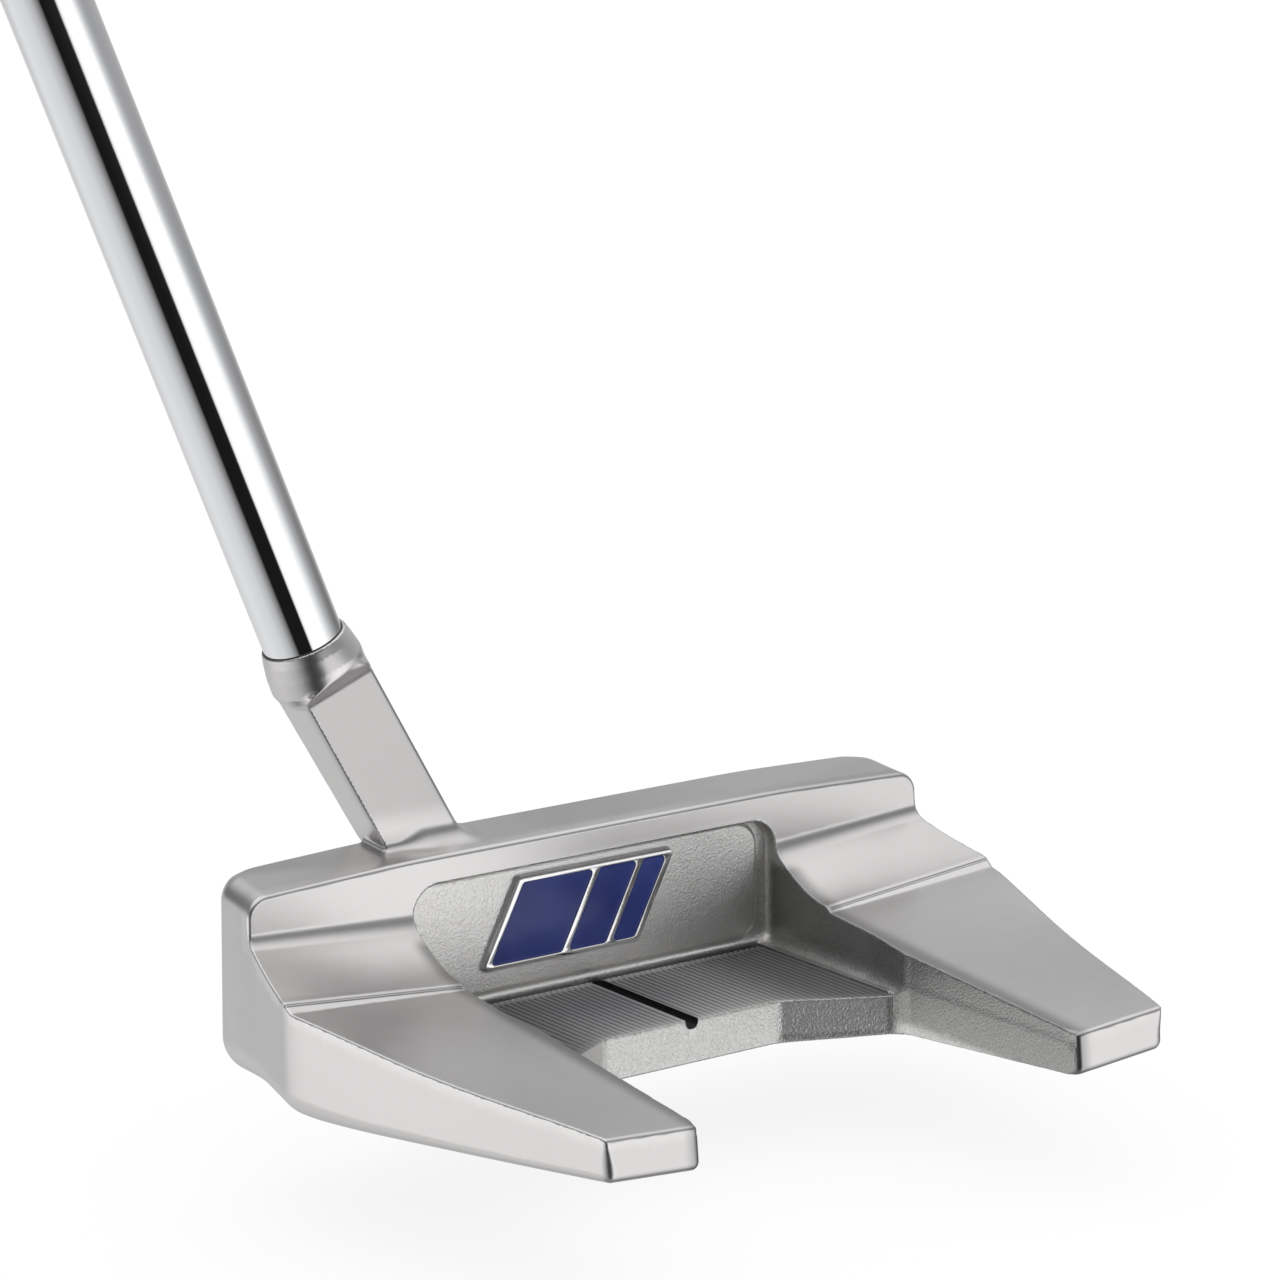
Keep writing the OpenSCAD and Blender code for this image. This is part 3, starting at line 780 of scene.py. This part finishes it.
def build_grip():
    n = 96
    theta = np.arange(n) * 2 * math.pi / n
    circle = np.stack([np.cos(theta), np.sin(theta)], 1)
    rows = 590
    stations = np.concatenate([[GRIP_LO, GRIP_LO + 0.3, GRIP_LO + 0.9],
                               np.linspace(GRIP_LO + 2, GRIP_HI - 0.6, rows), [GRIP_HI - 0.05]])
    rings = []
    for s in stations:
        t = min(max((s - GRIP_LO - 2) / 260, 0), 1)
        base = 9.5 + 4.2 * t ** 0.8
        tb = min(max((s - (TOP_S - 120)) / 115, 0), 1)
        bulge = 4 + 9.8 * math.sin(math.radians(90 * min(1, tb * 2.2)))
        bulge -= 1.2 * max(0, math.sin(math.radians(180 * tb)))
        bulge = min(bulge, 13.0) if s > TOP_S - 120 else 0.2
        reach = grip_reach(theta, base, bulge)
        end = min(s - GRIP_LO, GRIP_HI - s)
        reach -= 0.5 * max(0, 1 - end / 0.9) ** 2
        # shallow ribs around the underside, and a plain border
        rib = 0.5 - 0.5 * math.cos(2 * math.pi * s / 2.6)
        span = float(step(12, 20, s - GRIP_LO) * step(16, 24, GRIP_HI - s))
        under = step(math.radians(128), math.radians(112), np.abs((theta + math.pi) % (2 * math.pi)
                                                                   - math.pi))
        reach = reach - 0.28 * rib ** 1.5 * span * under
        rings.append(on_shaft(s, circle * reach[:, None]))
    inner = []
    for s in (GRIP_LO, GRIP_LO + 4, GRIP_LO + 4.02, TOP_S - 180, TOP_S - 6.0):
        r = float(shaft_radius(s)) + (0.02 if s < GRIP_LO + 4.01 else 0.14)
        inner.append(on_shaft(s, circle * r))
    points = np.concatenate(rings + inner)
    faces = []

    def wrap(i, j):
        for k in range(n):
            q = (k + 1) % n
            faces.append((i * n + k, i * n + q, j * n + q, j * n + k))

    for i in range(len(rings) - 1):
        wrap(i, i + 1)
    first = len(rings)
    wrap(first, 0)
    for i in range(len(inner) - 1):
        wrap(first + i + 1, first + i)
    last = (len(rings) - 1) * n
    faces.append([last + k for k in range(n)])
    last = (first + len(inner) - 1) * n
    faces.append([last + k for k in reversed(range(n))])
    grip = add_piece("grip_body", points, faces, ("grip",))
    fix_normals(grip)
    shade_by_angle(grip, 40)
    return grip


def build_cap():
    n = 96
    theta = np.arange(n) * 2 * math.pi / n
    circle = np.stack([np.cos(theta), np.sin(theta)], 1)
    rings = []
    for s, inset in ((0.02, 0.25), (0.2, 0.02), (1.6, 0.0), (2.5, 0.05), (2.8, 0.25), (2.95, 0.6),
                     (3.0, 1.1)):
        reach = grip_reach(theta, 13.4 - 0.4 * s, 12.6 - 0.4 * s) - inset
        rings.append(on_shaft(GRIP_HI + s, circle * reach[:, None]))
    outer = grip_reach(theta, 12.2, 11.4)
    for share, s in ((0.82, 3.0), (0.80, 2.85), (0.78, 2.75), (0.4, 2.75), (0.38, 2.85),
                     (0.36, 2.95), (0.22, 2.95)):
        rings.append(on_shaft(GRIP_HI + s, circle * (outer * share)[:, None]))
    for r, s in ((1.7, 2.95), (1.5, 2.8), (1.5, 0.6)):
        rings.append(on_shaft(GRIP_HI + s, circle * r))
    points, faces = loft_rings(rings)
    cap = add_piece("grip_top", points, faces, ("grip_cap",))
    fix_normals(cap)
    shade_by_angle(cap, 35)
    return cap


grip_piece = build_grip()
cap_piece = build_cap()
floor_piece = build_floor()
fix_normals(floor_piece)
sight_piece = build_sight_line(floor_piece)
badge_piece, enamel_piece = build_badge()
shaft_piece, ring_piece = build_shaft()


# ---------------------------------------------------------------- materials
def material(name, base, metallic, roughness, **sockets):
    mat = bpy.data.materials.new(name)
    mat.use_nodes = True
    bsdf = mat.node_tree.nodes["Principled BSDF"]
    bsdf.inputs["Base Color"].default_value = (*base, 1)
    bsdf.inputs["Metallic"].default_value = metallic
    bsdf.inputs["Roughness"].default_value = roughness
    for key, value in sockets.items():
        bsdf.inputs[key.replace("_", " ")].default_value = value
    return mat


class Graph:
    """Short ways to add and join shader nodes."""

    def __init__(self, mat):
        self.tree = mat.node_tree
        self.bsdf = self.tree.nodes.get("Principled BSDF")

    def add(self, kind, inputs=(), **props):
        node = self.tree.nodes.new(kind)
        for key, value in props.items():
            setattr(node, key, value)
        for key, value in dict(inputs).items():
            self.put(value, node.inputs[key])
        return node

    def put(self, value, socket):
        if hasattr(value, "is_output"):
            self.tree.links.new(value, socket)
        else:
            socket.default_value = value

    def coords(self):
        return self.add("ShaderNodeTexCoord").outputs["Object"]

    def noise(self, scale, detail=2.0, rough=0.5, vector=None):
        node = self.add("ShaderNodeTexNoise", {"Scale": scale, "Detail": detail,
                                               "Roughness": rough})
        self.put(vector if vector is not None else self.coords(), node.inputs["Vector"])
        return node.outputs["Fac"]

    def math(self, operation, a, b=0.0, c=0.0):
        return self.add("ShaderNodeMath", {0: a, 1: b, 2: c}, operation=operation).outputs[0]

    def blend(self, fac, a, b):
        """a where fac is 0, b where it is 1."""
        return self.math("MULTIPLY_ADD", fac, self.math("SUBTRACT", b, a), a)

    def mix_colour(self, fac, a, b):
        node = self.add("ShaderNodeMix", {"Factor": fac}, data_type="RGBA")
        self.put((*a, 1) if isinstance(a, tuple) else a, node.inputs["A"])
        self.put((*b, 1) if isinstance(b, tuple) else b, node.inputs["B"])
        return node.outputs["Result"]

    def remap(self, value, a, b, c, d):
        node = self.add("ShaderNodeMapRange", {0: value, 1: a, 2: b, 3: c, 4: d})
        return node.outputs[0]

    def bump(self, height, distance):
        node = self.add("ShaderNodeBump", {"Height": height, "Distance": distance,
                                           "Strength": 1.0})
        return node.outputs["Normal"]


def steel_material():
    mat = material("cast_steel", (0.68, 0.67, 0.66), 1, 0.3)
    g = Graph(mat)
    where = g.coords()
    blast = g.add("ShaderNodeAttribute", attribute_name="blast").outputs["Fac"]
    painted_groove_shade = g.add("ShaderNodeAttribute", attribute_name="painted_groove_shade").outputs["Fac"]
    floor = g.add("ShaderNodeAttribute", attribute_name="floor").outputs["Fac"]
    fine = g.noise(6000, 2, 0.6, where)
    grain = g.noise(3500, 2, 0.65, where)
    mottle = g.noise(420, 3, 0.6, where)
    cloud = g.noise(45, 2, 0.5, where)
    rough_satin = g.math("MULTIPLY_ADD", mottle, 0.06, 0.27)
    rough_satin = g.math("MULTIPLY_ADD", floor, 0.28, rough_satin)
    rough_blast = g.math("MULTIPLY_ADD", grain, 0.14, 0.3)
    g.put(g.blend(blast, rough_satin, rough_blast), g.bsdf.inputs["Roughness"])
    speck = g.remap(grain, 0.32, 0.68, 0.0, 1.0)
    mottle_and_painted_light = g.math("MULTIPLY_ADD", g.math("ADD", cloud, mottle), 0.5, 0.0)
    satin = g.mix_colour(mottle_and_painted_light, (0.66, 0.65, 0.645), (0.74, 0.73, 0.725))
    pitted = g.mix_colour(speck, (0.66, 0.655, 0.645), (0.88, 0.875, 0.865))
    colour = g.mix_colour(blast, satin, pitted)
    colour = g.mix_colour(g.math("MULTIPLY", floor, 0.15), colour, (0.25, 0.25, 0.245))
    # painted shade: the grooves' troughs, pits and moat darken towards near black
    hollow = g.math("MULTIPLY", painted_groove_shade, 0.9)
    colour = g.mix_colour(hollow, colour, (0.05, 0.05, 0.048))
    # painted light and shade: the base colour is scaled by the factor stored on each vertex
    mottle_and_painted_light = g.add("ShaderNodeAttribute", attribute_name="mottle_and_painted_light").outputs["Fac"]
    colour = g.add("ShaderNodeVectorMath", {0: colour, "Scale": mottle_and_painted_light},
                   operation="SCALE").outputs[0]
    colour = g.add("ShaderNodeVectorMath", {0: colour, 1: (0.95, 0.94, 0.93)},
                   operation="MINIMUM").outputs[0]
    g.put(colour, g.bsdf.inputs["Base Color"])
    height = g.blend(blast, g.math("MULTIPLY", g.math("ADD", fine, mottle), 0.04),
                     g.math("MULTIPLY", grain, 0.85))
    # fine score along the wings' ridge
    sep = g.add("ShaderNodeSeparateXYZ", {0: where})
    a = g.math("MULTIPLY_ADD", g.math("ABSOLUTE", sep.outputs["X"]), 1000, -26.3)
    y = g.math("MULTIPLY_ADD", sep.outputs["Y"], 1000, LEAD - 20.15 - 0.45)
    z = g.math("MULTIPLY_ADD", sep.outputs["Z"], 1000, -12.96 + 0.55)
    across = g.math("MULTIPLY_ADD", a, -0.0308, y)
    above = g.math("GREATER_THAN", g.math("MULTIPLY_ADD", a, -0.1013, z), 0.0)
    beyond = g.math("MULTIPLY", above, g.math("GREATER_THAN", a, 0.1))
    bell = g.math("EXPONENT", g.math("MULTIPLY", g.math("MULTIPLY", across, across), -50.0))
    height = g.math("SUBTRACT", height, g.math("MULTIPLY", g.math("MULTIPLY", bell, beyond), 1.3))
    g.put(g.bump(height, 0.0001), g.bsdf.inputs["Normal"])
    return mat


def chrome_material():
    mat = material("shaft_chrome", (0.90, 0.91, 0.93), 1, 0.03)
    g = Graph(mat)
    haze = g.noise(160, 3, 0.6)
    g.put(g.math("MULTIPLY_ADD", haze, 0.05, 0.01), g.bsdf.inputs["Roughness"])
    g.put(g.mix_colour(g.noise(35, 2, 0.5), (0.885, 0.895, 0.915), (0.915, 0.92, 0.935)),
          g.bsdf.inputs["Base Color"])
    g.put(g.bump(g.noise(900, 2, 0.5), 0.000002), g.bsdf.inputs["Normal"])
    return mat


def plate_material():
    mat = material("bright_plate", (0.84, 0.84, 0.85), 1, 0.12)
    g = Graph(mat)
    wear = g.noise(900, 3, 0.6)
    g.put(g.math("MULTIPLY_ADD", wear, 0.16, 0.06), g.bsdf.inputs["Roughness"])
    g.put(g.mix_colour(g.noise(500, 2, 0.5), (0.78, 0.78, 0.79), (0.90, 0.90, 0.91)),
          g.bsdf.inputs["Base Color"])
    g.put(g.bump(g.noise(2500, 2, 0.5), 0.000006), g.bsdf.inputs["Normal"])
    return mat


def coated(name, dark, light, rough, scale, bump, **sockets):
    """Non-metal with a two-tone mottle, varied roughness and a fine surface grain."""
    mat = material(name, light, 0, rough, **sockets)
    g = Graph(mat)
    mottle = g.noise(scale, 3, 0.55)
    g.put(g.mix_colour(g.remap(mottle, 0.3, 0.7, 0, 1), dark, light), g.bsdf.inputs["Base Color"])
    g.put(g.math("MULTIPLY_ADD", g.noise(scale * 2.3, 2, 0.6), 0.2, rough - 0.1),
          g.bsdf.inputs["Roughness"])
    g.put(g.bump(g.noise(scale * 4, 2, 0.6), bump), g.bsdf.inputs["Normal"])
    return mat


def weight_material():
    mat = material("weight_steel", (0.58, 0.575, 0.57), 1, 0.25)
    g = Graph(mat)
    sep = g.add("ShaderNodeSeparateXYZ", {0: g.coords()})
    dx = g.math("SUBTRACT", g.math("ABSOLUTE", sep.outputs["X"]), 0.036)
    dy = g.math("SUBTRACT", sep.outputs["Y"], (17 - LEAD) * MM)
    radius = g.math("SQRT", g.math("ADD", g.math("MULTIPLY", dx, dx), g.math("MULTIPLY", dy, dy)))
    rings = g.math("SINE", g.math("MULTIPLY", radius, 2 * math.pi / 0.00022))
    wear = g.noise(1400, 3, 0.6)
    g.put(g.math("MULTIPLY_ADD", wear, 0.08, 0.22), g.bsdf.inputs["Roughness"])
    g.put(g.mix_colour(wear, (0.56, 0.555, 0.55), (0.64, 0.635, 0.63)),
          g.bsdf.inputs["Base Color"])
    g.put(g.bump(g.math("ADD", g.math("MULTIPLY", rings, 0.4), wear), 0.000004),
          g.bsdf.inputs["Normal"])
    return mat


def insert_material():
    mat = material("insert_face", (0.30, 0.31, 0.33), 1, 0.35)
    g = Graph(mat)
    stretch = g.add("ShaderNodeMapping", {"Vector": g.coords(), "Scale": (0.06, 1, 1)})
    lines = g.noise(5200, 3, 0.6, stretch.outputs["Vector"])
    grain = g.noise(700, 3, 0.6)
    g.put(g.mix_colour(lines, (0.24, 0.25, 0.265), (0.40, 0.41, 0.43)), g.bsdf.inputs["Base Color"])
    g.put(g.math("MULTIPLY_ADD", grain, 0.2, 0.26), g.bsdf.inputs["Roughness"])
    g.put(g.bump(lines, 0.00002), g.bsdf.inputs["Normal"])
    return mat


def tape_material():
    mat = material("tape", (0.72, 0.69, 0.60), 0, 0.7)
    g = Graph(mat)
    sep = g.add("ShaderNodeSeparateXYZ", {0: g.coords()})
    a = g.math("SINE", g.math("MULTIPLY", sep.outputs["Y"], 9000))
    b = g.math("SINE", g.math("MULTIPLY", sep.outputs["Z"], 9000))
    weave = g.math("MULTIPLY", a, b)
    stain = g.noise(120, 3, 0.6)
    g.put(g.mix_colour(stain, (0.60, 0.56, 0.46), (0.80, 0.78, 0.70)), g.bsdf.inputs["Base Color"])
    g.put(g.math("MULTIPLY_ADD", stain, 0.2, 0.6), g.bsdf.inputs["Roughness"])
    g.put(g.bump(weave, 0.00004), g.bsdf.inputs["Normal"])
    return mat


def dress(piece, mat):
    piece.data.materials.clear()
    piece.data.materials.append(mat)


steel = steel_material()
dress(casting, steel)
dress(floor_piece, steel)
dress(sight_piece, coated("black_paint", (0.003, 0.003, 0.003), (0.008, 0.008, 0.008), 0.5, 900,
                          0.00002))
dress(badge_piece, plate_material())
dress(enamel_piece, coated("blue_enamel", (0.012, 0.022, 0.13), (0.03, 0.048, 0.21), 0.3, 90,
                           0.000002, Coat_Weight=0.25, Coat_Roughness=0.12,
                           Specular_IOR_Level=0.3))
dress(shaft_piece, chrome_material())
dress(ring_piece, coated("dark_epoxy", (0.01, 0.01, 0.011), (0.03, 0.03, 0.032), 0.35, 900,
                         0.00001))
rubber = coated("grip_rubber", (0.012, 0.012, 0.013), (0.028, 0.028, 0.03), 0.62, 1500, 0.00008)
dress(grip_piece, rubber)
dress(cap_piece, coated("cap_plastic", (0.02, 0.02, 0.022), (0.04, 0.04, 0.043), 0.45, 1200,
                        0.00003))
weight_steel = weight_material()
seal_rubber = coated("black_rubber", (0.008, 0.008, 0.008), (0.02, 0.02, 0.02), 0.65, 2000, 0.00005)
adhesive = coated("adhesive", (0.58, 0.54, 0.42), (0.74, 0.71, 0.60), 0.5, 600, 0.00004)
insert_face = insert_material()
tape = tape_material()
CAD_LOOKS = {"face_insert": insert_face, "insert_bond": adhesive, "badge_bond": adhesive,
             "heel_weight": weight_steel, "toe_weight": weight_steel,
             "heel_weight_seal": seal_rubber, "toe_weight_seal": seal_rubber, "grip_tape": tape}
for name, node in NODES.items():
    if name in CAD_LOOKS:
        dress(node, CAD_LOOKS[name])


# ---------------------------------------------------------------- stage and light
def ramp_node(g, fac, stops):
    """A colour ramp of greys from (position, brightness) pairs."""
    node = g.add("ShaderNodeValToRGB", {"Fac": fac})
    ramp_data = node.color_ramp
    ramp_data.interpolation = "LINEAR"
    while len(ramp_data.elements) > 1:
        ramp_data.elements.remove(ramp_data.elements[-1])
    for i, (pos, value) in enumerate(stops):
        e = ramp_data.elements[0] if i == 0 else ramp_data.elements.new(pos)
        e.position = pos
        e.color = (value, value, value, 1)
    return node.outputs["Color"]


# brightness seen by polished and satin metal, by compass angle from the rear (+Y) towards
# the heel (+X), in degrees: below the horizon, and a little above it
LOW_RING = ((-180, 0.70), (-140, 0.50), (-105, 0.16), (-90, 0.20), (-68, 0.50), (-54, 0.82),
            (-42, 1.02), (-25, 1.15), (-6, 1.12), (-1, 1.0), (2, 0.01), (38, 0.01), (43, 0.15),
            (51, 0.3), (63, 0.5), (89, 0.70), (140, 0.80), (180, 0.70))
MID_RING = ((-180, 0.70), (-140, 0.66), (-105, 0.16), (-90, 0.20), (-68, 0.50), (-54, 0.82),
            (-42, 1.12), (-25, 1.25), (-6, 1.1), (-1, 0.9), (3, 0.02), (38, 0.02), (48, 0.25),
            (63, 0.6), (85, 0.95), (105, 1.28), (125, 1.15), (150, 0.6), (180, 0.60))
HIGH_RING = ((-180, 0.35), (-160, 0.44), (-142, 0.43), (-120, 0.50), (-98, 0.42), (-70, 0.35),
             (-45, 0.25), (-20, 0.22), (-5, 0.15), (15, 0.04), (50, 0.05), (80, 0.2), (105, 0.25),
             (130, 0.15), (160, 0.2), (180, 0.35))


def add_world():
    """A white studio, in which metal sees the dark and bright panels of the rings above."""
    world = bpy.data.worlds.new("studio")
    bpy.context.scene.world = world
    world.use_nodes = True
    g = Graph(world)
    back = world.node_tree.nodes["Background"]
    direction = g.add("ShaderNodeTexCoord").outputs["Generated"]
    sep = g.add("ShaderNodeSeparateXYZ", {0: direction})
    angle = g.math("ARCTAN2", sep.outputs["X"], sep.outputs["Y"])
    turn = g.math("MULTIPLY_ADD", angle, 0.5 / math.pi, 0.5)
    low = ramp_node(g, turn, [((a + 180) / 360, v) for a, v in LOW_RING])
    mid = ramp_node(g, turn, [((a + 180) / 360, v) for a, v in MID_RING])
    high = ramp_node(g, turn, [((a + 180) / 360, v) for a, v in HIGH_RING])
    z = sep.outputs["Z"]
    lower = g.mix_colour(g.remap(z, -0.45, -0.27, 0, 1), low, mid)
    lower = g.mix_colour(g.remap(z, -0.04, 0.14, 0, 1), lower, high)
    upper = g.mix_colour(g.remap(z, 0.5, 0.75, 0, 1), lower, (0.84, 0.84, 0.84))
    top = g.mix_colour(g.remap(z, 0.78, 0.95, 0, 1), upper, (1.1, 1.1, 1.1))
    under = g.mix_colour(g.remap(z, -0.75, -0.9, 0, 1), top, (0.3, 0.3, 0.3))
    glossy = g.add("ShaderNodeLightPath").outputs["Is Glossy Ray"]
    g.put(g.mix_colour(glossy, (1.0, 1.0, 1.0), under), back.inputs["Color"])
    back.inputs["Strength"].default_value = 1.0


def add_floor():
    """Pale paper far enough below the sole for a weight to come out."""
    size, z = 4.0, -0.012
    mesh = bpy.data.meshes.new("floor")
    mesh.from_pydata([(-size, -size, z), (size, -size, z), (size, size, z), (-size, size, z)], [],
                     [(0, 1, 2, 3)])
    floor = bpy.data.objects.new("floor", mesh)
    bpy.context.scene.collection.objects.link(floor)
    dress(floor, material("floor_paper", (0.2, 0.2, 0.2), 0, 0.9, Specular_IOR_Level=0.0,
                          Emission_Color=(1, 1, 1, 1), Emission_Strength=0.82))
    floor.visible_glossy = False


bpy.context.scene.view_settings.view_transform = "Standard"
add_world()
add_floor()
